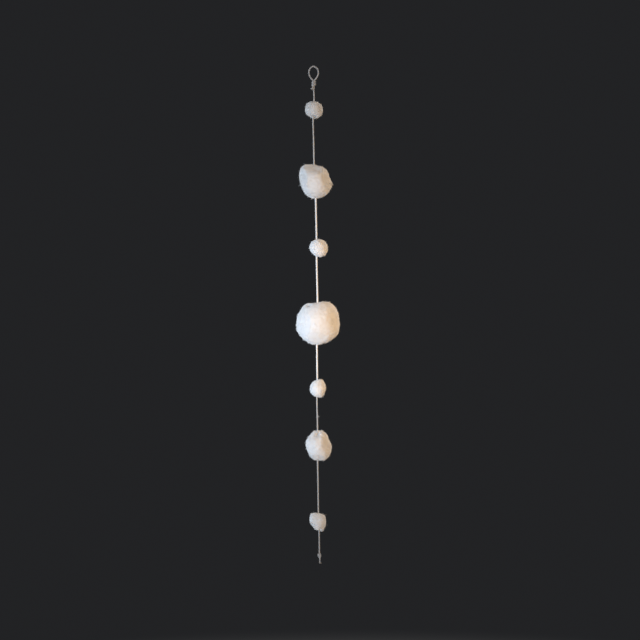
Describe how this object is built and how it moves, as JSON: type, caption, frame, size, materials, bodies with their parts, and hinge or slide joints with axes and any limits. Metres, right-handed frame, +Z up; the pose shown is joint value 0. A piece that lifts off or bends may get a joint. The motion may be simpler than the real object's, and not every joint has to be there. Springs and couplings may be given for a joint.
{
  "type": "snowball garland",
  "caption": "Hanging garland of fluffy white fibre snowballs in mixed sizes, threaded on one white cotton string with a hanging loop at the top and a stopper knot at the bottom.",
  "frame": {"origin": "inside top of the hanging loop, where a hook or nail holds the garland", "axes": "+Z up along the hanging string, +X to the viewer's right, +Y away from the viewer"},
  "size_m": [0.05, 0.0496, 0.5649],
  "materials": {
    "snow_fibre": "soft matte white fluff of loose fibre",
    "string": "matte white twisted cotton"
  },
  "bodies": {
    "root": {"string": "string", "snowball_1_small": "snow_fibre", "snowball_2_medium": "snow_fibre", "snowball_3_small": "snow_fibre", "snowball_4_large": "snow_fibre", "snowball_5_small": "snow_fibre", "snowball_6_medium": "snow_fibre", "snowball_7_small": "snow_fibre"}
  },
  "joints": []
}
